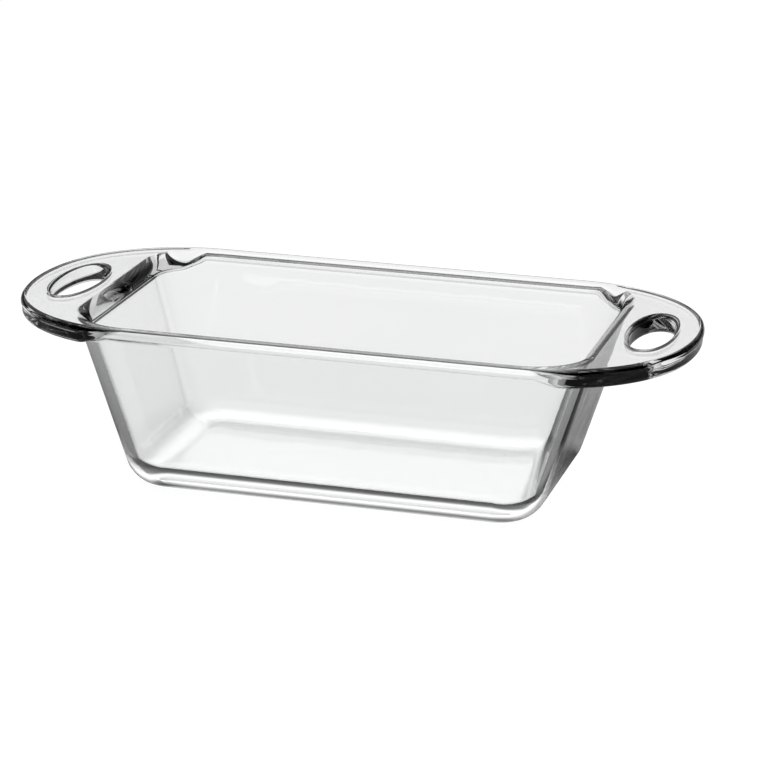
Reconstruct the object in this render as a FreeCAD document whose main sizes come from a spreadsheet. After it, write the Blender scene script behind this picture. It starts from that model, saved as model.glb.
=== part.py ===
import FreeCAD, Part
import math
import os
import Sketcher

# Loaf pan of pressed glass: one moulded piece, made of a tapered tub, a flat rim round its mouth and a
# rounded handle at each end, with an oval finger hole through each handle.
# Millimetres. The origin is the centre of the base, at the level the pan stands on. +X runs along the
# length towards a handle, +Y across the width and +Z up.

NODE = "glass_pan"

DIMENSIONS = [
    ("overall_length", 300.0, "over both handles"),
    ("overall_width", 145.2, "over the rim at the long sides"),
    ("overall_height", 77.5, "table to the top of the rim"),
    ("side_rim_thickness", 4.6, "rim along the long sides"),
    ("handle_thickness", 8.2, "rim at the handles"),
    ("handle_start", 93.0, "distance from the middle to where the rim starts to thicken into a handle"),
    ("heel_length", 10.0, "length of the slope down to a handle's full thickness"),
    ("handle_corner_radius", 64.0, "outline arc between a long side and a handle's end"),
    ("handle_end_radius", 98.5, "outline arc round a handle's end"),
    ("handle_inset", 0.5, "how far a handle's thick part stands in from the rim's outline"),
    ("shell_top_length", 227.0, "outside of the tub, carried up to the rim's top"),
    ("shell_top_width", 135.6, "outside of the tub, carried up to the rim's top"),
    ("shell_top_corner_radius", 26.0, "plan radius of the outer corners at that level"),
    ("shell_base_length", 180.0, "outside of the tub, carried down to the table"),
    ("shell_base_width", 108.4, "outside of the tub, carried down to the table"),
    ("shell_base_corner_radius", 20.0, "plan radius of the outer corners at that level"),
    ("mouth_length", 218.0, "inside of the tub, carried up to the rim's top"),
    ("mouth_width", 127.0, "inside of the tub, carried up to the rim's top"),
    ("mouth_corner_radius", 22.0, "plan radius of the inner corners at that level"),
    ("floor_length", 174.0, "inside of the tub, carried down to the floor"),
    ("floor_width", 102.0, "inside of the tub, carried down to the floor"),
    ("floor_corner_radius", 16.0, "plan radius of the inner corners at that level"),
    ("floor_level", 6.2, "height of the floor's upper face above the table"),
    ("hole_centre", 129.2, "distance from the middle to the centre of a finger hole"),
    ("hole_length", 54.0, "finger hole across the pan, before its edges are rounded"),
    ("hole_width", 18.0, "finger hole along the pan, before its edges are rounded"),
    ("base_rounding", 16.0, "outer edge between base and walls"),
    ("floor_rounding", 13.0, "inner edge between floor and walls"),
    ("mouth_rounding", 6.5, "inner edge of the mouth"),
    ("rim_rounding", 2.2, "outer edges of the rim and the handles"),
    ("heel_rounding", 12.0, "where a handle's slope runs into its level underside"),
    ("underside_rounding", 3.0, "inner corner between the tub and the rim above it"),
    ("hole_rounding", 2.0, "edges of the finger holes"),
]

START, END, CENTRE = 1, 2, 3
ORIGIN = (-1, 1)
X_AXIS = -1
QUARTER = math.pi / 2
TOUCHING = 0.01

doc = FreeCAD.newDocument("loaf_pan")
sheet = doc.addObject("Spreadsheet::Sheet", "dims")
for row, (alias, value, meaning) in enumerate(DIMENSIONS, start=1):
    sheet.set(f"A{row}", str(value))
    sheet.setAlias(f"A{row}", alias)
    sheet.set(f"B{row}", f"'{meaning}")
doc.recompute()
size = {alias: float(sheet.get(alias)) for alias, _, _ in DIMENSIONS}

RIM_TOP = size["overall_height"]
RIM_UNDERSIDE = RIM_TOP - size["side_rim_thickness"]
HANDLE_UNDERSIDE = RIM_TOP - size["handle_thickness"]


# Sketches


def new_body(name):
    body = doc.addObject("PartDesign::Body", name)
    body.Label = name
    return body


def origin_plane(body, role):
    """One of a body's own origin planes."""
    return next(feature for feature in body.Origin.OriginFeatures if feature.Role == role)


def level_sketch(body, name, level):
    """An empty horizontal sketch at a level given as an expression."""
    sketch = body.newObject("Sketcher::SketchObject", name)
    sketch.AttachmentSupport = (origin_plane(body, "XY_Plane"), [""])
    sketch.MapMode = "FlatFace"
    sketch.setExpression(".AttachmentOffset.Base.z", level)
    return sketch


def point(x, y):
    return FreeCAD.Vector(x, y, 0)


def line(sketch, start, end):
    return sketch.addGeometry(Part.LineSegment(start, end), False)


def arc(sketch, centre, radius, first_angle, last_angle):
    circle = Part.Circle(centre, FreeCAD.Vector(0, 0, 1), radius)
    return sketch.addGeometry(Part.ArcOfCircle(circle, first_angle, last_angle), False)


def relate(sketch, kind, *where):
    sketch.addConstraint(Sketcher.Constraint(kind, *where))


def drive(sketch, kind, *where, by):
    """Add a dimension to a sketch and bind it to an expression in the sheet's cells."""
    index = sketch.addConstraint(Sketcher.Constraint(kind, *where))
    sketch.setExpression(f"Constraints[{index}]", by)


def join_round(sketch, pieces, kind):
    """Join each piece's end to the next one's start, all the way round a closed outline."""
    for this, following in zip(pieces, pieces[1:] + pieces[:1]):
        relate(sketch, kind, this, END, following, START)


def heel_gap_profile(body):
    """The gap between the two handles' thick parts, seen from the side: narrow at the top and wide at the
    bottom, so that each thick part ends in a slope."""
    sketch = body.newObject("Sketcher::SketchObject", "heel_gap_profile")
    sketch.AttachmentSupport = (origin_plane(body, "XZ_Plane"), [""])
    sketch.MapMode = "FlatFace"
    top_z = RIM_TOP - size["side_rim_thickness"] / 2
    slope = size["heel_length"] / (size["handle_thickness"] - size["side_rim_thickness"])
    top_x = size["handle_start"] - slope * size["side_rim_thickness"] / 2
    foot_x = size["handle_start"] + size["heel_length"]
    right = line(sketch, point(foot_x, HANDLE_UNDERSIDE), point(top_x, top_z))
    top = line(sketch, point(top_x, top_z), point(-top_x, top_z))
    left = line(sketch, point(-top_x, top_z), point(-foot_x, HANDLE_UNDERSIDE))
    bottom = line(sketch, point(-foot_x, HANDLE_UNDERSIDE), point(foot_x, HANDLE_UNDERSIDE))
    join_round(sketch, [right, top, left, bottom], "Coincident")
    relate(sketch, "Horizontal", top)
    relate(sketch, "Horizontal", bottom)
    relate(sketch, "Equal", right, left)
    slope_rule = "dims.heel_length / (dims.handle_thickness - dims.side_rim_thickness)"
    top_x_rule = f"dims.handle_start - {slope_rule} * dims.side_rim_thickness / 2"
    drive(sketch, "DistanceX", *ORIGIN, right, END, top_x, by=top_x_rule)
    drive(sketch, "DistanceX", *ORIGIN, right, START, foot_x, by="dims.handle_start + dims.heel_length")
    drive(sketch, "DistanceX", left, END, *ORIGIN, foot_x, by="dims.handle_start + dims.heel_length")
    top_rule = "dims.overall_height - dims.side_rim_thickness / 2"
    drive(sketch, "DistanceY", *ORIGIN, right, END, top_z, by=top_rule)
    foot_rule = "dims.overall_height - dims.handle_thickness"
    drive(sketch, "DistanceY", *ORIGIN, right, START, HANDLE_UNDERSIDE, by=foot_rule)
    return sketch


def rounded_rectangle(body, level, prefix):
    """A rounded rectangle centred on the Z axis, sized by the sheet's cells that share a prefix."""
    sketch = level_sketch(body, f"{prefix}_plan", level)
    half_x = size[f"{prefix}_length"] / 2
    half_y = size[f"{prefix}_width"] / 2
    corner = size[f"{prefix}_corner_radius"]
    in_x = half_x - corner
    in_y = half_y - corner
    right = line(sketch, point(half_x, -in_y), point(half_x, in_y))
    back_right = arc(sketch, point(in_x, in_y), corner, 0, QUARTER)
    back = line(sketch, point(in_x, half_y), point(-in_x, half_y))
    back_left = arc(sketch, point(-in_x, in_y), corner, QUARTER, 2 * QUARTER)
    left = line(sketch, point(-half_x, in_y), point(-half_x, -in_y))
    front_left = arc(sketch, point(-in_x, -in_y), corner, 2 * QUARTER, 3 * QUARTER)
    front = line(sketch, point(-in_x, -half_y), point(in_x, -half_y))
    front_right = arc(sketch, point(in_x, -in_y), corner, 3 * QUARTER, 4 * QUARTER)
    outline = [right, back_right, back, back_left, left, front_left, front, front_right]
    join_round(sketch, outline, "Tangent")
    for upright_line in (right, left):
        relate(sketch, "Vertical", upright_line)
    for level_line in (back, front):
        relate(sketch, "Horizontal", level_line)
    for other in (back_left, front_left, front_right):
        relate(sketch, "Equal", back_right, other)
    relate(sketch, "Symmetric", back_right, CENTRE, front_left, CENTRE, *ORIGIN)
    drive(sketch, "Radius", back_right, corner, by=f"dims.{prefix}_corner_radius")
    drive(sketch, "DistanceX", *ORIGIN, right, START, half_x, by=f"dims.{prefix}_length / 2")
    drive(sketch, "DistanceY", *ORIGIN, back, START, half_y, by=f"dims.{prefix}_width / 2")
    return sketch


def rim_outline(body, name, level, inset):
    """The rim seen from above, or a line that runs an even distance inside it: straight long sides that
    run into two arcs of different radius, which close each end as a rounded handle. The inset is a
    number and the expression it comes from."""
    sketch = level_sketch(body, name, level)
    inset_by, inset_rule = inset
    half_y = size["overall_width"] / 2 - inset_by
    corner = size["handle_corner_radius"] - inset_by
    tip = size["handle_end_radius"] - inset_by
    tip_x = size["overall_length"] / 2 - size["handle_end_radius"]
    corner_y = half_y - corner
    corner_x = tip_x + math.sqrt((tip - corner) ** 2 - corner_y**2)
    turn = math.atan2(corner_y, corner_x - tip_x)
    right_tip = arc(sketch, point(tip_x, 0), tip, -turn, turn)
    back_right = arc(sketch, point(corner_x, corner_y), corner, turn, QUARTER)
    back = line(sketch, point(corner_x, half_y), point(-corner_x, half_y))
    back_left = arc(sketch, point(-corner_x, corner_y), corner, QUARTER, 2 * QUARTER - turn)
    left_tip = arc(sketch, point(-tip_x, 0), tip, 2 * QUARTER - turn, 2 * QUARTER + turn)
    front_left = arc(sketch, point(-corner_x, -corner_y), corner, 2 * QUARTER + turn, 3 * QUARTER)
    front = line(sketch, point(-corner_x, -half_y), point(corner_x, -half_y))
    front_right = arc(sketch, point(corner_x, -corner_y), corner, 3 * QUARTER, 4 * QUARTER - turn)
    outline = [right_tip, back_right, back, back_left, left_tip, front_left, front, front_right]
    join_round(sketch, outline, "Tangent")
    for level_line in (back, front):
        relate(sketch, "Horizontal", level_line)
    for other in (back_left, front_left, front_right):
        relate(sketch, "Equal", back_right, other)
    for tip_arc in (right_tip, left_tip):
        relate(sketch, "PointOnObject", tip_arc, CENTRE, X_AXIS)
        drive(sketch, "Radius", tip_arc, tip, by=f"dims.handle_end_radius - {inset_rule}")
    drive(sketch, "Radius", back_right, corner, by=f"dims.handle_corner_radius - {inset_rule}")
    tip_rule = "dims.overall_length / 2 - dims.handle_end_radius"
    drive(sketch, "DistanceX", *ORIGIN, right_tip, CENTRE, tip_x, by=tip_rule)
    drive(sketch, "DistanceX", left_tip, CENTRE, *ORIGIN, tip_x, by=tip_rule)
    side_rule = f"dims.overall_width / 2 - {inset_rule}"
    drive(sketch, "DistanceY", *ORIGIN, back, START, half_y, by=side_rule)
    drive(sketch, "DistanceY", front, START, *ORIGIN, half_y, by=side_rule)
    return sketch


def hole_outline(body):
    """The right-hand finger hole seen from above: an ellipse, long across the pan."""
    sketch = level_sketch(body, "hole_plan", "dims.overall_height")
    centre_x = size["hole_centre"]
    half_x = size["hole_width"] / 2
    half_y = size["hole_length"] / 2
    ellipse = Part.Ellipse(point(centre_x, half_y), point(centre_x + half_x, 0), point(centre_x, 0))
    oval = sketch.addGeometry(ellipse, False)
    sketch.exposeInternalGeometry(oval)
    long_axis = oval + 1
    short_axis = oval + 2
    relate(sketch, "Vertical", long_axis)
    relate(sketch, "PointOnObject", oval, CENTRE, X_AXIS)
    drive(sketch, "DistanceX", *ORIGIN, oval, CENTRE, centre_x, by="dims.hole_centre")
    drive(sketch, "Distance", long_axis, 2 * half_y, by="dims.hole_length")
    drive(sketch, "Distance", short_axis, 2 * half_x, by="dims.hole_width")
    return sketch


# Features


def pad_down(body, name, profile, depth):
    pad = body.newObject("PartDesign::Pad", name)
    pad.Profile = profile
    pad.Reversed = True
    pad.setExpression("Length", depth)
    doc.recompute()


def pocket(body, name, profile, depth, midplane=False):
    """Cut a profile's shape to a depth, from its plane or, midplane, evenly to both sides of it. A pocket
    that removes nothing is an error."""
    doc.recompute()
    before = body.Tip.Shape.Volume
    cut = body.newObject("PartDesign::Pocket", name)
    cut.Profile = profile
    cut.Midplane = midplane
    cut.setExpression("Length", depth)
    doc.recompute()
    if cut.Shape.Volume >= before:
        raise RuntimeError(f"{name} removes nothing")
    return cut


def loft(body, kind, name, upper, lower):
    """A ruled loft, drawn from the upper outline down, because the other way turns it inside out."""
    feature = body.newObject(f"PartDesign::{kind}", name)
    feature.Profile = upper
    feature.Sections = [lower]
    feature.Ruled = True
    doc.recompute()


def fuse(body, name, other):
    union = body.newObject("PartDesign::Boolean", name)
    union.Type = "Fuse"
    union.setObjects([other])
    doc.recompute()


def round_edges(body, name, radius, belongs):
    """Round every edge of the body's solid that belongs() accepts, by a radius from the sheet."""
    solid = body.Tip
    edges = enumerate(solid.Shape.Edges, start=1)
    chosen = [f"Edge{number}" for number, edge in edges if belongs(edge)]
    if not chosen:
        raise RuntimeError(f"{name} finds no edge")
    fillet = body.newObject("PartDesign::Fillet", name)
    fillet.Base = (solid, chosen)
    fillet.setExpression("Radius", f"dims.{radius}")
    doc.recompute()


# Ways to tell edges apart


def at_level(edge, level):
    box = edge.BoundBox
    return abs(box.ZMin - level) < TOUCHING and abs(box.ZMax - level) < TOUCHING


def within(edge, half_x, half_y):
    """Whether an edge stays inside a centred rectangle, seen from above."""
    box = edge.BoundBox
    reach_x = max(abs(box.XMin), abs(box.XMax))
    reach_y = max(abs(box.YMin), abs(box.YMax))
    return reach_x < half_x + TOUCHING and reach_y < half_y + TOUCHING


def within_outline(edge, prefix):
    return within(edge, size[f"{prefix}_length"] / 2, size[f"{prefix}_width"] / 2)


def across(edge):
    """Whether an edge runs straight across the pan."""
    box = edge.BoundBox
    return box.XLength < TOUCHING and box.ZLength < TOUCHING


def centred_at(edge, distance):
    """Whether an edge's middle lies this far from the pan's middle, towards either handle."""
    return abs(abs(edge.BoundBox.Center.x) - distance) < TOUCHING


def across_at(edge, distance):
    return across(edge) and centred_at(edge, distance)


# The pan's parts


def make_rim():
    """The flat rim over the tub and both handles, rounded all round its outer edge."""
    body = new_body("rim_blank")
    outline = rim_outline(body, "rim_plan", "dims.overall_height", (0.0, "0"))
    pad_down(body, "rim_slab", outline, "dims.side_rim_thickness")
    round_edges(
        body,
        "rim_edge",
        "rim_rounding",
        lambda edge: at_level(edge, RIM_TOP) or at_level(edge, RIM_UNDERSIDE),
    )
    return body


def make_handle_backs():
    """The extra thickness under each handle, which slopes up into the rim beside the tub."""
    body = new_body("handle_blank")
    body.AllowCompound = True
    rim_middle = "dims.overall_height - dims.side_rim_thickness / 2"
    inset = (size["handle_inset"], "dims.handle_inset")
    outline = rim_outline(body, "handle_plan", rim_middle, inset)
    pad_down(body, "handle_slab", outline, "dims.handle_thickness - dims.side_rim_thickness / 2")
    pocket(body, "handle_gap", heel_gap_profile(body), "2 * dims.overall_width", midplane=True)
    foot_x = size["handle_start"] + size["heel_length"]
    round_edges(
        body,
        "heels",
        "heel_rounding",
        lambda edge: at_level(edge, HANDLE_UNDERSIDE) and across_at(edge, foot_x),
    )
    round_edges(
        body,
        "handle_edge",
        "rim_rounding",
        lambda edge: at_level(edge, HANDLE_UNDERSIDE) and not across(edge),
    )
    return body


def add_shell(pan):
    """The tub's outside as a solid block, joined to the rim and the handles."""
    loft(
        pan,
        "AdditiveLoft",
        "tub",
        rounded_rectangle(pan, "dims.overall_height", "shell_top"),
        rounded_rectangle(pan, "0", "shell_base"),
    )
    round_edges(pan, "base_edge", "base_rounding", lambda edge: at_level(edge, 0))
    fuse(pan, "with_rim", make_rim())
    round_edges(
        pan,
        "under_rim",
        "underside_rounding",
        lambda edge: at_level(edge, RIM_UNDERSIDE) and within_outline(edge, "shell_top"),
    )
    fuse(pan, "with_handles", make_handle_backs())
    heel_angle = math.atan2(size["handle_thickness"] - size["side_rim_thickness"], size["heel_length"])
    heel_reach = size["heel_rounding"] * math.tan(heel_angle / 2)
    heel_end_x = size["handle_start"] + size["heel_length"] + heel_reach
    round_edges(
        pan,
        "under_handles",
        "underside_rounding",
        lambda edge: at_level(edge, HANDLE_UNDERSIDE)
        and within_outline(edge, "shell_top")
        and not across_at(edge, heel_end_x),
    )


def hollow_out(pan):
    """The space inside the tub, with a rounded floor edge and a widely rounded mouth."""
    loft(
        pan,
        "SubtractiveLoft",
        "cavity",
        rounded_rectangle(pan, "dims.overall_height", "mouth"),
        rounded_rectangle(pan, "dims.floor_level", "floor"),
    )
    floor_level = size["floor_level"]
    round_edges(pan, "floor_edge", "floor_rounding", lambda edge: at_level(edge, floor_level))
    round_edges(
        pan,
        "mouth_edge",
        "mouth_rounding",
        lambda edge: at_level(edge, RIM_TOP) and within_outline(edge, "mouth"),
    )


def cut_finger_holes(pan):
    """An oval hole through each handle."""
    hole = pocket(pan, "finger_hole", hole_outline(pan), "dims.handle_thickness")
    with_one_hole = hole.Shape.Volume
    both = pan.newObject("PartDesign::Mirrored", "finger_holes")
    both.Originals = [hole]
    both.MirrorPlane = (origin_plane(pan, "YZ_Plane"), [""])
    pan.Tip = both
    doc.recompute()
    if both.Shape.Volume >= with_one_hole:
        raise RuntimeError("the second finger hole removes nothing")
    centre_x = size["hole_centre"]
    round_edges(
        pan,
        "hole_edges",
        "hole_rounding",
        lambda edge: centred_at(edge, centre_x)
        and (at_level(edge, RIM_TOP) or at_level(edge, HANDLE_UNDERSIDE)),
    )


def check_document():
    for item in doc.Objects:
        if "Invalid" in item.State or "Error" in item.State:
            raise RuntimeError(f"{item.Label} failed: {item.State}")


def write_part(part):
    shape = part.Shape
    if shape.isNull() or not shape.isValid() or len(shape.Solids) != 1:
        raise RuntimeError(f"{part.Label} is not one valid solid")
    shape.exportStep(f"parts/{part.Label}.step")


pan = new_body(NODE)
add_shell(pan)
hollow_out(pan)
cut_finger_holes(pan)
doc.recompute()
check_document()
os.makedirs("parts", exist_ok=True)
write_part(pan)
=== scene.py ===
import math

import bpy
from mathutils import Matrix, Vector
from mathutils.geometry import delaunay_2d_cdt


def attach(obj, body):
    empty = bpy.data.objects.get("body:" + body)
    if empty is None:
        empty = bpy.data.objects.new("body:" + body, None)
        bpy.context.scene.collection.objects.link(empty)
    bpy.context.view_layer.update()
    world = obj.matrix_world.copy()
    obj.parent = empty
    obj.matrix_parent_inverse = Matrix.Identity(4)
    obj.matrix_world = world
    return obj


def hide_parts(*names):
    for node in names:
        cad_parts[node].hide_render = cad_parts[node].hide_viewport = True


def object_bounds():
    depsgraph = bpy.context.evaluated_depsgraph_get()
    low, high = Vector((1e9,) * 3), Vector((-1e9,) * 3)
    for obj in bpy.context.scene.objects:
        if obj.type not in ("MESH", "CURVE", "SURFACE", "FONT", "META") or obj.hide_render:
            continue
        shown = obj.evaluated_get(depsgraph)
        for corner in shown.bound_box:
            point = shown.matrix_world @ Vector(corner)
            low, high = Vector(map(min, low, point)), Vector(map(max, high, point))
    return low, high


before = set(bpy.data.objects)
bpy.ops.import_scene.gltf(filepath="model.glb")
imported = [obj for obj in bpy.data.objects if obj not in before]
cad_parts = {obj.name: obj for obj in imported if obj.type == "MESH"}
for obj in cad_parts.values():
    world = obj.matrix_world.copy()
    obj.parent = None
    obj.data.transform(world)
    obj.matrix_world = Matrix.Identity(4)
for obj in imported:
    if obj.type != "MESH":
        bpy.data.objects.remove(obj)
cad_low, cad_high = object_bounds()

MM = 0.001
UP = Vector((0, 0, 1))
QUARTER = math.pi / 2

# Sizes of the glass pan, in metres. The overall ones come from the frame, and the rest are the design's.

HALF_LENGTH = cad_high.x
HALF_WIDTH = cad_high.y
RIM_TOP = cad_high.z
RIM_UNDERSIDE = RIM_TOP - 4.6 * MM
HANDLE_UNDERSIDE = RIM_TOP - 8.2 * MM
FLOOR_LEVEL = 6.2 * MM
HANDLE_START = 93.0 * MM
HEEL_LENGTH = 10.0 * MM
HANDLE_INSET = 0.5 * MM
HANDLE_CORNER_RADIUS = 64.0 * MM
HANDLE_END_RADIUS = 98.5 * MM
HOLE_CENTRE = 129.2 * MM
HOLE_HALF_LENGTH = 27.0 * MM
HOLE_HALF_WIDTH = 9.0 * MM

# Half length, half width and corner radius of the tub, with its walls carried on to these levels.
OUTSIDE_AT_TABLE = Vector((90.0, 54.2, 20.0)) * MM
OUTSIDE_AT_RIM_TOP = Vector((113.5, 67.8, 26.0)) * MM
INSIDE_AT_FLOOR = Vector((87.0, 51.0, 16.0)) * MM
INSIDE_AT_RIM_TOP = Vector((109.0, 63.5, 22.0)) * MM

BASE_ROUNDING = 16.0 * MM
FLOOR_ROUNDING = 13.0 * MM
MOUTH_ROUNDING = 6.5 * MM
RIM_ROUNDING = 2.2 * MM
HEEL_ROUNDING = 12.0 * MM
UNDERSIDE_ROUNDING = 3.0 * MM
HOLE_ROUNDING = 2.0 * MM

# How finely the mesh follows each curve.

CORNER_STEPS = 30
FLOOR_STEPS = 12
MOUTH_STEPS = 12
BASE_STEPS = 14
UNDERSIDE_STEPS = 8
RIM_STEPS = 10
CREASE_STEPS = 4
HANDLE_CORNER_STEPS = 72
HANDLE_END_STEPS = 24
HOLE_STEPS = 96
HOLE_EDGE_STEPS = 6
HEEL_STEPS = 24
HEEL_REACH = 1.3 * HEEL_LENGTH
HEEL_POINT_GAP = 1.5 * MM
HEEL_POINTS_EACH_SIDE = 48
HEEL_LEVEL_ROUNDS = 4
SLOPE_STEP = 0.2 * MM
SAME_PLACE = 1e-7

# The glass. Brightnesses and fades have no unit.

REFRACTIVE_INDEX = 1.50
ABSORPTION = 2.4
WAVE_SIZE = 14.0 * MM
WAVE_HEIGHT = 0.03 * MM
TINT_SIZE = 60.0 * MM
CLEAREST = (1.0, 1.0, 1.0, 1)
MOST_TINTED = (0.985, 0.992, 0.990, 1)
SCRATCH_SIZE = 1.2 * MM
SCRATCH_DETAIL = 6.0
SCRATCH_FADE = (0.5, 0.7)
FOOT_WEAR = 0.12
FOOT_WEAR_DEPTH = (0.1 * MM, 0.4 * MM)
RIM_WEAR = 0.04
RIM_WEAR_DEPTH = (0.1 * MM, 0.3 * MM)
POLISH_ROUGHNESS = 0.006
POLISH_FADE = (0.4, 0.7)
# Painted light: a faint glow on the glass near the foot, seen only from within it, that lightens the band
# along the base.
PAINTED_FOOT_GLOW = 0.22
PAINTED_FOOT_GLOW_LEVELS = (2.0 * MM, 7.0 * MM)
PAINTED_FOOT_GLOW_FACING = (0.1, 0.5)

# The floor. Its painted shade is what it sends into reflected light, by distance in millimetres outwards
# from a
# rectangle under the middle of the pan: light under the base with a band of painted contact shadow near the
# flat base's edge, a painted dark shadow ring round the foot, and painted grey shade beyond.

FLOOR_REACH = 6.0
FLOOR_GAP = 0.2 * MM
FLOOR_COLOUR = (0.1, 0.1, 0.1, 1)
FLOOR_SEEN_DIRECTLY = 0.96
FLOOR_SEEN_THROUGH_GLASS = 0.92
FLOOR_MOTTLE = 0.006
FLOOR_MOTTLE_SIZE = 90.0 * MM
FLOOR_MOTTLE_DETAIL = 4.0
FLOOR_MOTTLE_FADE = (0.3, 0.7)
MIDDLE_HALF_LENGTH = 70.0 * MM
MIDDLE_HALF_WIDTH = 34.2 * MM
UNDER_BASE_WITH_PAINTED_CONTACT_SHADOW = [(0, 1.0), (5, 1.0), (7, 0.72), (10, 0.76), (11.5, 1.0), (12.6, 1.0)]
PAINTED_SHADOW_RING = [(14.8, 0.0), (30, 0.0)]
PAINTED_SHADE_BEYOND = [(40, 0.35), (250, 0.6)]
PAINTED_FLOOR_SHADE = UNDER_BASE_WITH_PAINTED_CONTACT_SHADOW + PAINTED_SHADOW_RING + PAINTED_SHADE_BEYOND

# The studio. Fades are ranges of a direction's parts.

KEPT = 0.10
BACK_FADE = (-0.2, 0.1)
WINDOW_FADE = (0.0, 0.35)
WINDOW_DIMMEST = 0.03
WINDOW_LEAST_AWAY = 0.05
RISE_FADE = (0.16, 0.26)
RISE_DIMMEST = 0.15
TOP_FADE = (0.55, 0.85)
TOP_BRIGHTNESS = 1.3
DISPLAY_GAMMA = 0.72
MOST_BOUNCES = 20
MOST_GLOSSY_BOUNCES = 16
MOST_TRANSPARENT_BOUNCES = 24

# The camera, in degrees, metres and millimetres of focal length.

AZIMUTH = math.radians(15.594)
ELEVATION = math.radians(17.244)
ROLL = math.radians(0.898)
DISTANCE = 1.35672
TARGET = Vector((0.0, 0.0, 0.03869))
FOCAL_MM = 145.29
SENSOR_MM = 36.0
SHIFT = (0.0341, 0.00746)
NEAREST_SEEN = 0.05
FARTHEST_SEEN = 50


# The mesh


class Skin:
    """A closed surface, gathered face by face, with its own normal at every corner of every face. A ring
    is a closed row of points, kept as the numbers of its points and a normal for each."""

    def __init__(self):
        self.points = []
        self.faces = []
        self.normals = []

    def ring(self, points, normals):
        first = len(self.points)
        self.points.extend(points)
        return list(range(first, len(self.points))), normals

    def face(self, numbers, normals):
        """One face, turned so that its corners run anticlockwise as seen from outside."""
        a, b, c = (self.points[number] for number in numbers[:3])
        if (b - a).cross(c - a).dot(sum(normals, Vector((0, 0, 0)))) < 0:
            numbers = numbers[::-1]
            normals = normals[::-1]
        self.faces.append(numbers)
        self.normals.extend(normals)

    def sweep(self, rings):
        """Faces between each ring and the next. Two rings that share their points form a crease."""
        for (near, near_normals), (far, far_normals) in zip(rings, rings[1:]):
            if near is far:
                continue
            for here in range(len(near)):
                there = here - 1
                self.face(
                    [near[there], near[here], far[here], far[there]],
                    [near_normals[there], near_normals[here], far_normals[here], far_normals[there]],
                )

    def fill(self, rings, normal_at, extra=()):
        """Triangles between an outer ring and any rings inside it, with extra points on the way."""
        numbers = []
        loops = []
        for ring, _ in rings:
            first = len(numbers)
            numbers.extend(ring)
            loop = list(range(first, len(numbers)))
            corners = [self.points[number] for number in ring]
            twice_area = sum(a.x * b.y - b.x * a.y for a, b in zip(corners, corners[1:] + corners[:1]))
            loops.append(loop if twice_area > 0 else loop[::-1])
        added = range(len(self.points), len(self.points) + len(extra))
        self.points.extend(extra)
        numbers.extend(added)
        flat = [self.points[number].xy for number in numbers]
        inside_without_holes = 2
        _, _, triangles, sources, _, _ = delaunay_2d_cdt(flat, [], loops, inside_without_holes, SAME_PLACE)
        for triangle in triangles:
            corners = [numbers[sources[corner][0]] for corner in triangle]
            self.face(corners, [normal_at(self.points[corner]) for corner in corners])

    def make(self, name, material):
        used = sorted({number for face in self.faces for number in face})
        place = {number: index for index, number in enumerate(used)}
        points = [self.points[number] for number in used]
        faces = [[place[number] for number in face] for face in self.faces]
        mesh = bpy.data.meshes.new(name)
        mesh.from_pydata(points, [], faces)
        mesh.normals_split_custom_set(self.normals)
        mesh.materials.append(material)
        piece = bpy.data.objects.new(name, mesh)
        bpy.context.scene.collection.objects.link(piece)
        return piece


# The tub


def rounded_rectangle():
    """Stations round a rounded rectangle: the signs of the corner each belongs to, and its direction."""
    stations = []
    for corner, (side_x, side_y) in enumerate([(1, 1), (-1, 1), (-1, -1), (1, -1)]):
        for step in range(CORNER_STEPS + 1):
            angle = QUARTER * (corner + step / CORNER_STEPS)
            stations.append((side_x, side_y, angle))
    return stations


class Walls:
    """Four leaning walls that meet in rounded corners. Half length, half width and corner radius change
    evenly from a lower level to the rim's top."""

    def __init__(self, bottom, lower_level, top):
        self.bottom = bottom
        self.lower_level = lower_level
        self.change = (top - bottom) / (RIM_TOP - lower_level)

    def point(self, station, level):
        side_x, side_y, angle = station
        half_x, half_y, corner = self.bottom + self.change * (level - self.lower_level)
        x = side_x * (half_x - corner) + corner * math.cos(angle)
        y = side_y * (half_y - corner) + corner * math.sin(angle)
        return Vector((x, y, level))

    def outward(self, station):
        """The direction away from the tub's middle, square to the wall."""
        side_x, side_y, angle = station
        by_x, by_y, by_corner = self.change
        cos = math.cos(angle)
        sin = math.sin(angle)
        lean = side_x * (by_x - by_corner) * cos + side_y * (by_y - by_corner) * sin + by_corner
        return Vector((cos, sin, -lean)).normalized()


OUTSIDE = Walls(OUTSIDE_AT_TABLE, 0.0, OUTSIDE_AT_RIM_TOP)
INSIDE = Walls(INSIDE_AT_FLOOR, FLOOR_LEVEL, INSIDE_AT_RIM_TOP)


def wall_rounding(skin, walls, level_at, radius, steps, above, convex):
    """Rings of the rounding between walls and a face, from the wall to the face. The face is at the walls'
    upper edge, above, or at their lower edge. level_at gives the face's level at a station."""
    side = 1 if above else -1
    facing = 1 if convex else -1
    rings = []
    for step in range(steps + 1):
        share = step / steps
        points = []
        normals = []
        for station in rounded_rectangle():
            outward = walls.outward(station)
            turn = math.acos(-outward.z)
            from_wall = -side * outward * math.sin((1 - share) * turn)
            to_face = side * UP * math.sin(share * turn)
            direction = (from_wall + to_face) / math.sin(turn)
            touch = walls.point(station, level_at(station) - side * radius * (1 + outward.z))
            points.append(touch + side * radius * outward + radius * direction)
            normals.append(facing * direction)
        rings.append(skin.ring(points, normals))
    return rings


# The rim and the handles


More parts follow.
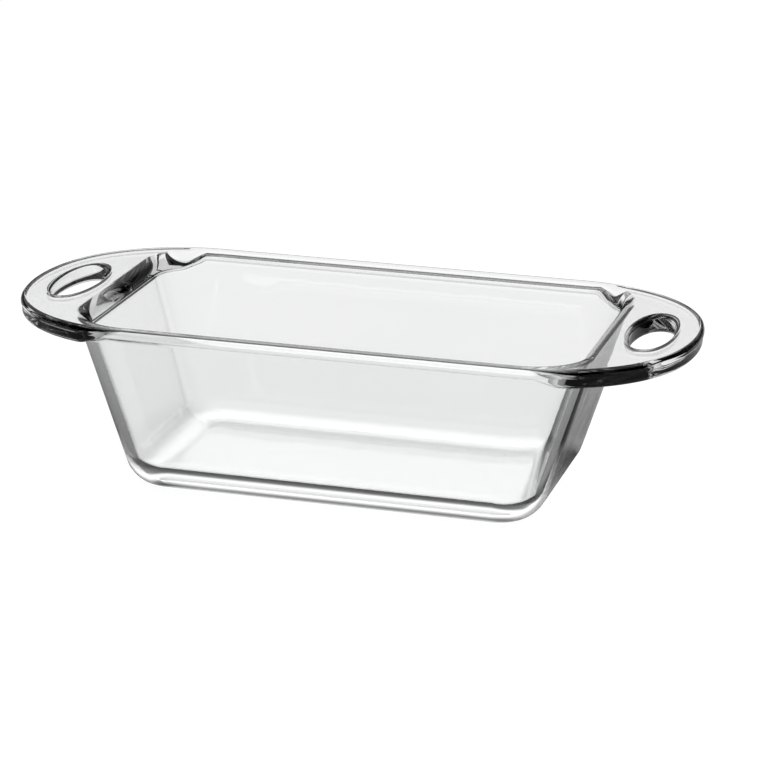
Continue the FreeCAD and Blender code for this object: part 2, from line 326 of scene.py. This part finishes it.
def underside(x):
    """Level of the rim's underside: level beside the tub, sloping down at each handle's heel."""
    drop = RIM_UNDERSIDE - HANDLE_UNDERSIDE
    angle = math.atan2(drop, HEEL_LENGTH)
    slope_end = HANDLE_START + HEEL_LENGTH
    arc_end = slope_end + HEEL_ROUNDING * math.tan(angle / 2)
    arc_start = arc_end - HEEL_ROUNDING * math.sin(angle)
    x = abs(x)
    if x <= HANDLE_START:
        return RIM_UNDERSIDE
    if x <= arc_start:
        return RIM_UNDERSIDE - (x - HANDLE_START) * drop / HEEL_LENGTH
    if x <= arc_end:
        return HANDLE_UNDERSIDE + HEEL_ROUNDING - math.sqrt(HEEL_ROUNDING**2 - (arc_end - x) ** 2)
    return HANDLE_UNDERSIDE


def underside_normal(point):
    slope = (underside(point.x + SLOPE_STEP) - underside(point.x - SLOPE_STEP)) / (2 * SLOPE_STEP)
    return Vector((slope, 0, -1)).normalized()


def heel_level(station):
    """Level of the underside where a station of the tub's outside meets it."""
    outward = OUTSIDE.outward(station)
    level = RIM_UNDERSIDE
    for _ in range(HEEL_LEVEL_ROUNDS):
        touch = OUTSIDE.point(station, level - UNDERSIDE_ROUNDING * (1 + outward.z))
        level = underside((touch + UNDERSIDE_ROUNDING * outward).x)
    return level


def rim_stations():
    """Stations round the rim's outline: the centre and radius of the arc each lies on, and its direction."""
    tip_x = HALF_LENGTH - HANDLE_END_RADIUS
    corner_y = HALF_WIDTH - HANDLE_CORNER_RADIUS
    corner_x = tip_x + math.sqrt((HANDLE_END_RADIUS - HANDLE_CORNER_RADIUS) ** 2 - corner_y**2)
    turn = math.atan2(corner_y, corner_x - tip_x)
    tip = Vector((tip_x, 0))
    right = Vector((corner_x, corner_y))
    left = Vector((-corner_x, corner_y))
    arcs = [
        (tip, HANDLE_END_RADIUS, -turn, turn, HANDLE_END_STEPS),
        (right, HANDLE_CORNER_RADIUS, turn, QUARTER, HANDLE_CORNER_STEPS),
        (left, HANDLE_CORNER_RADIUS, QUARTER, 2 * QUARTER - turn, HANDLE_CORNER_STEPS),
    ]
    stations = []
    for sign, half_turn in ((1, 0.0), (-1, math.pi)):
        for centre, radius, first, last, steps in arcs:
            for step in range(steps):
                angle = first + (last - first) * step / steps
                stations.append((centre * sign, radius, angle + half_turn))
            if last == QUARTER:
                stations.append((centre * sign, radius, last + half_turn))
    return stations


def arc_profile(centre_inset, centre_level, first, last, steps):
    """Points of a rounding in the rim's cross-section, as inset, level, and the normal's two parts."""
    profile = []
    for step in range(steps + 1):
        angle = math.radians(first + (last - first) * step / steps)
        cos = math.cos(angle)
        sin = math.sin(angle)
        inset = centre_inset - RIM_ROUNDING * cos
        profile.append(Vector((inset, centre_level + RIM_ROUNDING * sin, cos, sin)))
    return profile


def rim_profiles():
    """The rim's outer edge from the top down: the part that is the same all round, and below it the part
    beside the tub and the part at a handle, point for point. At a handle the rim's lower rounding stops at
    a crease, where the thicker part under it stands out."""
    upper_centre = RIM_TOP - RIM_ROUNDING
    lower_centre = RIM_UNDERSIDE + RIM_ROUNDING
    handle_centre = HANDLE_UNDERSIDE + RIM_ROUNDING
    crease_angle = -math.degrees(math.acos(1 - HANDLE_INSET / RIM_ROUNDING))
    upper = arc_profile(RIM_ROUNDING, upper_centre, 90, 0, RIM_STEPS)
    upper += arc_profile(RIM_ROUNDING, lower_centre, 0, crease_angle, CREASE_STEPS)
    beside_tub = arc_profile(RIM_ROUNDING, lower_centre, crease_angle, -90, RIM_STEPS + 1)
    crease = Vector((HANDLE_INSET, upper[-1][1], 1, 0))
    at_handle = [crease] + arc_profile(HANDLE_INSET + RIM_ROUNDING, handle_centre, 0, -90, RIM_STEPS)
    return upper, beside_tub, at_handle


def rim_ring(profile_at):
    """Points and normals right round the rim. profile_at gives the cross-section's point at a place along
    the pan."""
    points = []
    normals = []
    for centre, radius, angle in rim_stations():
        cos = math.cos(angle)
        sin = math.sin(angle)
        inset, level, out, rise = profile_at(centre.x + (radius - RIM_ROUNDING) * cos)
        reach = radius - inset
        points.append(Vector((centre.x + reach * cos, centre.y + reach * sin, level)))
        normals.append(Vector((out * cos, out * sin, rise)).normalized())
    return points, normals


def rim_edge(skin):
    """Rings of the rim's outer edge, from its top face down to its underside."""
    upper, beside_tub, at_handle = rim_profiles()
    rings = [skin.ring(*rim_ring(lambda x: profile_point)) for profile_point in upper]

    def handle_share(x):
        return (RIM_UNDERSIDE - underside(x)) / (RIM_UNDERSIDE - HANDLE_UNDERSIDE)

    lower = [
        rim_ring(lambda x: thin.lerp(thick, handle_share(x))) for thin, thick in zip(beside_tub, at_handle)
    ]
    crease_points = rings[-1][0]
    rings.append((crease_points, lower[0][1]))
    for points, normals in lower[1:]:
        rings.append(skin.ring(points, normals))
    return rings


def heel_points():
    """Points over the two heels' slopes, so that the filled underside follows them."""
    points = []
    for side_x in (-1, 1):
        for step in range(HEEL_STEPS + 1):
            x = side_x * (HANDLE_START + HEEL_REACH * step / HEEL_STEPS)
            for row in range(-HEEL_POINTS_EACH_SIDE, HEEL_POINTS_EACH_SIDE + 1):
                points.append(Vector((x, HEEL_POINT_GAP * row, underside(x))))
    return points


def hole_rings(skin, side_x):
    """Rings down through a finger hole, from the handle's top to its underside."""
    rows = []
    for step in range(HOLE_EDGE_STEPS + 1):
        turn = QUARTER * step / HOLE_EDGE_STEPS
        rows.append((RIM_TOP - HOLE_ROUNDING * (1 - math.cos(turn)), turn))
    for step in range(HOLE_EDGE_STEPS + 1):
        turn = QUARTER + QUARTER * step / HOLE_EDGE_STEPS
        rows.append((HANDLE_UNDERSIDE + HOLE_ROUNDING * (1 + math.cos(turn)), turn))
    rings = []
    for level, turn in rows:
        points = []
        normals = []
        for step in range(HOLE_STEPS):
            angle = 4 * QUARTER * step / HOLE_STEPS
            cos = math.cos(angle)
            sin = math.sin(angle)
            edge = Vector((side_x * HOLE_CENTRE + HOLE_HALF_WIDTH * cos, HOLE_HALF_LENGTH * sin, level))
            outward = Vector((HOLE_HALF_LENGTH * cos, HOLE_HALF_WIDTH * sin, 0)).normalized()
            points.append(edge + HOLE_ROUNDING * (1 - math.sin(turn)) * outward)
            normals.append(-outward * math.sin(turn) + UP * math.cos(turn))
        rings.append(skin.ring(points, normals))
    return rings


def make_pan(material):
    skin = Skin()
    floor = wall_rounding(
        skin, INSIDE, lambda station: FLOOR_LEVEL, FLOOR_ROUNDING, FLOOR_STEPS, above=False, convex=False
    )
    mouth = wall_rounding(
        skin, INSIDE, lambda station: RIM_TOP, MOUTH_ROUNDING, MOUTH_STEPS, above=True, convex=True
    )
    skin.sweep(floor[::-1] + mouth)
    base = wall_rounding(
        skin, OUTSIDE, lambda station: 0.0, BASE_ROUNDING, BASE_STEPS, above=False, convex=True
    )
    under_rim = wall_rounding(
        skin, OUTSIDE, heel_level, UNDERSIDE_ROUNDING, UNDERSIDE_STEPS, above=True, convex=False
    )
    skin.sweep(base[::-1] + under_rim)
    edge = rim_edge(skin)
    skin.sweep(edge)
    left_hole, right_hole = (hole_rings(skin, side_x) for side_x in (-1, 1))
    skin.sweep(left_hole)
    skin.sweep(right_hole)
    skin.fill([floor[-1]], lambda point: UP)
    skin.fill([base[-1]], lambda point: -UP)
    skin.fill([edge[0], mouth[-1], left_hole[0], right_hole[0]], lambda point: UP)
    underneath = [edge[-1], under_rim[-1], left_hole[-1], right_hole[-1]]
    skin.fill(underneath, underside_normal, heel_points())
    return skin.make("pan", material)


# Shader nodes


def new_material(name):
    material = bpy.data.materials.new(name)
    material.use_nodes = True
    material.node_tree.nodes.clear()
    return material


def node(tree, kind, **values):
    made = tree.nodes.new(kind)
    for key, value in values.items():
        setattr(made, key, value)
    return made


def calculate(tree, operation, *values):
    """The result of a Math node. Each value is a number or another node's output."""
    made = node(tree, "ShaderNodeMath", operation=operation)
    for place, value in enumerate(values):
        if isinstance(value, (int, float)):
            made.inputs[place].default_value = value
        else:
            tree.links.new(value, made.inputs[place])
    return made.outputs[0]


def reckon(tree, operation, *values):
    """A Vector Math node. Each value is a tuple or another node's output."""
    made = node(tree, "ShaderNodeVectorMath", operation=operation)
    for place, value in enumerate(values):
        if isinstance(value, tuple):
            made.inputs[place].default_value = value
        else:
            tree.links.new(value, made.inputs[place])
    return made


def between(tree, value, low, high, at_low=0.0, at_high=1.0):
    """A value's smooth change from at_low to at_high while it goes from low to high."""
    made = node(tree, "ShaderNodeMapRange", interpolation_type="SMOOTHSTEP")
    tree.links.new(value, made.inputs["Value"])
    made.inputs["From Min"].default_value = low
    made.inputs["From Max"].default_value = high
    made.inputs["To Min"].default_value = at_low
    made.inputs["To Max"].default_value = at_high
    return made.outputs["Result"]


def split(tree, vector):
    """The x, y and z parts of a vector."""
    made = node(tree, "ShaderNodeSeparateXYZ")
    tree.links.new(vector, made.inputs[0])
    return made.outputs["X"], made.outputs["Y"], made.outputs["Z"]


def noise(tree, size, detail=2.0):
    """A cloudy pattern over the object, from 0 to 1, whose patches are about this size."""
    place = node(tree, "ShaderNodeTexCoord")
    made = node(tree, "ShaderNodeTexNoise")
    tree.links.new(place.outputs["Object"], made.inputs["Vector"])
    made.inputs["Scale"].default_value = 1 / size
    made.inputs["Detail"].default_value = detail
    return made.outputs["Fac"]


def add_shaders(tree, first, second):
    both = node(tree, "ShaderNodeAddShader")
    tree.links.new(first.outputs[0], both.inputs[0])
    tree.links.new(second.outputs[0], both.inputs[1])
    return both.outputs[0]


def reflections(tree):
    """Whether a ray has been reflected, as 0 or 1, and how much of its light is kept over its further
    reflections."""
    depth = node(tree, "ShaderNodeLightPath").outputs["Glossy Depth"]
    further = calculate(tree, "MAXIMUM", calculate(tree, "SUBTRACT", depth, 1.0), 0.0)
    return calculate(tree, "MINIMUM", depth, 1.0), calculate(tree, "POWER", KEPT, further)


def if_reflected(tree, reflected, share):
    """This share of the light for a reflected ray, and all of it for any other."""
    lost = calculate(tree, "MULTIPLY", reflected, calculate(tree, "SUBTRACT", 1.0, share))
    return calculate(tree, "SUBTRACT", 1.0, lost)


# The glass


def glass_surface(tree, glass, level):
    """What pressing and use leave on the glass: waviness, a faint tint, and wear under the foot and on the
    rim's top."""
    waves = noise(tree, WAVE_SIZE)
    bump = node(tree, "ShaderNodeBump")
    bump.inputs["Strength"].default_value = 1.0
    bump.inputs["Distance"].default_value = WAVE_HEIGHT
    tree.links.new(waves, bump.inputs["Height"])
    tree.links.new(bump.outputs["Normal"], glass.inputs["Normal"])
    tint = node(tree, "ShaderNodeMix", data_type="RGBA")
    tree.links.new(noise(tree, TINT_SIZE), tint.inputs["Factor"])
    tint.inputs["A"].default_value = CLEAREST
    tint.inputs["B"].default_value = MOST_TINTED
    tree.links.new(tint.outputs["Result"], glass.inputs["Base Color"])
    foot = between(tree, level, *FOOT_WEAR_DEPTH, FOOT_WEAR, 0.0)
    shallow, deep = RIM_WEAR_DEPTH
    rim = between(tree, level, RIM_TOP - deep, RIM_TOP - shallow, 0.0, RIM_WEAR)
    scratches = between(tree, noise(tree, SCRATCH_SIZE, SCRATCH_DETAIL), *SCRATCH_FADE)
    worn = calculate(tree, "MULTIPLY", calculate(tree, "ADD", foot, rim), scratches)
    polish = between(tree, waves, *POLISH_FADE, 0.0, POLISH_ROUGHNESS)
    tree.links.new(calculate(tree, "ADD", worn, polish), glass.inputs["Roughness"])


def painted_foot_glow(tree, place, level):
    """Painted light: a faint glow, not a lamp, on the downward-facing glass near the foot, seen only from
    within it.
    """
    _, _, facing = split(tree, place.outputs["True Normal"])
    low = between(tree, level, *PAINTED_FOOT_GLOW_LEVELS, 1.0, 0.0)
    under = between(tree, facing, *PAINTED_FOOT_GLOW_FACING)
    from_within = calculate(tree, "MULTIPLY", under, place.outputs["Backfacing"])
    amount = calculate(tree, "MULTIPLY", low, from_within)
    glow = node(tree, "ShaderNodeEmission")
    tree.links.new(calculate(tree, "MULTIPLY", amount, PAINTED_FOOT_GLOW), glow.inputs["Strength"])
    return glow


def glass_material():
    material = new_material("clear_glass")
    tree = material.node_tree
    output = node(tree, "ShaderNodeOutputMaterial")
    glass = node(tree, "ShaderNodeBsdfPrincipled")
    glass.inputs["IOR"].default_value = REFRACTIVE_INDEX
    glass.inputs["Transmission Weight"].default_value = 1.0
    place = node(tree, "ShaderNodeNewGeometry")
    _, _, level = split(tree, place.outputs["Position"])
    glass_surface(tree, glass, level)
    # Painted light: the glow near the foot is added to the glass.
    surface = add_shaders(tree, glass, painted_foot_glow(tree, place, level))
    tree.links.new(surface, output.inputs["Surface"])
    absorb = node(tree, "ShaderNodeVolumeAbsorption")
    absorb.inputs["Color"].default_value = (0.0, 0.0, 0.0, 1)
    absorb.inputs["Density"].default_value = ABSORPTION
    tree.links.new(absorb.outputs[0], output.inputs["Volume"])
    return material


# The floor


def painted_floor_shade(tree):
    """Painted shade on the floor: how much of its light it sends into reflected rays, by distance from the
    foot's middle, with a painted contact shadow and a painted dark shadow ring round the foot.
    """
    place = node(tree, "ShaderNodeNewGeometry")
    size = reckon(tree, "ABSOLUTE", place.outputs["Position"])
    well_above = 10.0
    middle = (MIDDLE_HALF_LENGTH, MIDDLE_HALF_WIDTH, well_above)
    beyond = reckon(tree, "SUBTRACT", size.outputs[0], middle)
    clipped = reckon(tree, "MAXIMUM", beyond.outputs[0], (0.0, 0.0, 0.0))
    distance = reckon(tree, "LENGTH", clipped.outputs[0])
    ramp = node(tree, "ShaderNodeValToRGB")
    elements = ramp.color_ramp.elements
    while len(elements) < len(PAINTED_FLOOR_SHADE):
        elements.new(1.0)
    reach, _ = PAINTED_FLOOR_SHADE[-1]
    for element, (millimetres, kept) in zip(elements, PAINTED_FLOOR_SHADE):
        element.position = millimetres / reach
        element.color = (kept, kept, kept, 1)
    share = calculate(tree, "MULTIPLY", distance.outputs["Value"], 1 / (reach * MM))
    tree.links.new(share, ramp.inputs[0])
    return ramp.outputs["Color"]


def floor_material():
    material = new_material("pale_floor")
    tree = material.node_tree
    output = node(tree, "ShaderNodeOutputMaterial")
    diffuse = node(tree, "ShaderNodeBsdfDiffuse")
    diffuse.inputs["Color"].default_value = FLOOR_COLOUR
    seen = node(tree, "ShaderNodeLightPath").outputs["Is Camera Ray"]
    level = between(tree, seen, 0, 1, FLOOR_SEEN_THROUGH_GLASS, FLOOR_SEEN_DIRECTLY)
    clouds = noise(tree, FLOOR_MOTTLE_SIZE, FLOOR_MOTTLE_DETAIL)
    mottle = between(tree, clouds, *FLOOR_MOTTLE_FADE, -FLOOR_MOTTLE, FLOOR_MOTTLE)
    level = calculate(tree, "ADD", level, mottle)
    reflected, kept = reflections(tree)
    # Painted shade: the contact shadow and dark ring on the floor, in reflected rays only.
    painted_shade = if_reflected(tree, reflected, painted_floor_shade(tree))
    strength = calculate(tree, "MULTIPLY", calculate(tree, "MULTIPLY", level, painted_shade), kept)
    glow = node(tree, "ShaderNodeEmission")
    tree.links.new(strength, glow.inputs["Strength"])
    tree.links.new(add_shaders(tree, diffuse, glow), output.inputs["Surface"])
    return material


def make_floor():
    mesh = bpy.data.meshes.new("floor")
    signs = ((-1, -1), (1, -1), (1, 1), (-1, 1))
    corners = [(x * FLOOR_REACH, y * FLOOR_REACH, -FLOOR_GAP) for x, y in signs]
    mesh.from_pydata(corners, [], [(0, 1, 2, 3)])
    mesh.materials.append(floor_material())
    floor = bpy.data.objects.new("floor", mesh)
    bpy.context.scene.collection.objects.link(floor)


# The studio


def turned(tree, vector, angle):
    """A vector turned by an angle about the upright axis."""
    made = node(tree, "ShaderNodeVectorRotate", rotation_type="Z_AXIS")
    made.inputs["Angle"].default_value = angle
    tree.links.new(vector, made.inputs["Vector"])
    return made.outputs[0]


def studio_direction(tree):
    """The direction of a ray in the studio: x to the right, y away from the camera and z up. The studio
    turns with the camera about the upright axis, as if the pan stood on a turntable. At the scene's own
    camera it lies along the frame's axes."""
    ahead = node(tree, "ShaderNodeVectorTransform")
    ahead.vector_type = "VECTOR"
    ahead.convert_from = "CAMERA"
    ahead.convert_to = "WORLD"
    ahead.inputs[0].default_value = (0, 0, 1)
    level = reckon(tree, "MULTIPLY", ahead.outputs[0], (1.0, 1.0, 0.0))
    heading = reckon(tree, "NORMALIZE", level.outputs[0])
    away = turned(tree, heading.outputs[0], -AZIMUTH)
    across = turned(tree, away, -QUARTER)
    ray = node(tree, "ShaderNodeTexCoord").outputs["Generated"]
    x = reckon(tree, "DOT_PRODUCT", ray, across).outputs["Value"]
    y = reckon(tree, "DOT_PRODUCT", ray, away).outputs["Value"]
    _, _, z = split(tree, ray)
    return x, y, z


def make_world():
    """A bright back, of which reflected rays find only a window at the left, and a bright top."""
    world = bpy.data.worlds.new("studio")
    bpy.context.scene.world = world
    world.use_nodes = True
    tree = world.node_tree
    tree.nodes.clear()
    output = node(tree, "ShaderNodeOutputWorld")
    background = node(tree, "ShaderNodeBackground")
    x, y, z = studio_direction(tree)
    reflected, kept = reflections(tree)
    side = calculate(tree, "DIVIDE", x, calculate(tree, "MAXIMUM", y, WINDOW_LEAST_AWAY))
    window = between(tree, side, *WINDOW_FADE, 1.0, WINDOW_DIMMEST)
    rise = between(tree, z, *RISE_FADE, RISE_DIMMEST, 1.0)
    seen = if_reflected(tree, reflected, calculate(tree, "MULTIPLY", window, rise))
    back = calculate(tree, "MULTIPLY", between(tree, y, *BACK_FADE), seen)
    top = between(tree, z, *TOP_FADE, 0.0, TOP_BRIGHTNESS)
    strength = calculate(tree, "MULTIPLY", calculate(tree, "MAXIMUM", back, top), kept)
    tree.links.new(strength, background.inputs["Strength"])
    tree.links.new(background.outputs[0], output.inputs["Surface"])


def make_camera():
    data = bpy.data.cameras.new("camera")
    data.sensor_width = SENSOR_MM
    data.lens = FOCAL_MM
    data.shift_x, data.shift_y = SHIFT
    data.clip_start = NEAREST_SEEN
    data.clip_end = FARTHEST_SEEN
    camera = bpy.data.objects.new("camera", data)
    bpy.context.scene.collection.objects.link(camera)
    cos = math.cos(ELEVATION)
    forward = Vector((-math.sin(AZIMUTH) * cos, math.cos(AZIMUTH) * cos, -math.sin(ELEVATION)))
    level_right = Vector((math.cos(AZIMUTH), math.sin(AZIMUTH), 0))
    level_up = level_right.cross(forward)
    right = level_right * math.cos(ROLL) + level_up * math.sin(ROLL)
    up = level_up * math.cos(ROLL) - level_right * math.sin(ROLL)
    turn = Matrix((right, up, -forward)).transposed()
    camera.matrix_world = Matrix.Translation(TARGET - forward * DISTANCE) @ turn.to_4x4()
    bpy.context.scene.camera = camera


pan = make_pan(glass_material())
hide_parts("glass_pan")
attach(pan, "root")

make_floor()
make_world()
make_camera()

scene = bpy.context.scene
scene.view_settings.view_transform = "Standard"
scene.view_settings.gamma = DISPLAY_GAMMA
scene.cycles.max_bounces = MOST_BOUNCES
scene.cycles.transmission_bounces = MOST_BOUNCES
scene.cycles.transparent_max_bounces = MOST_TRANSPARENT_BOUNCES
scene.cycles.glossy_bounces = MOST_GLOSSY_BOUNCES
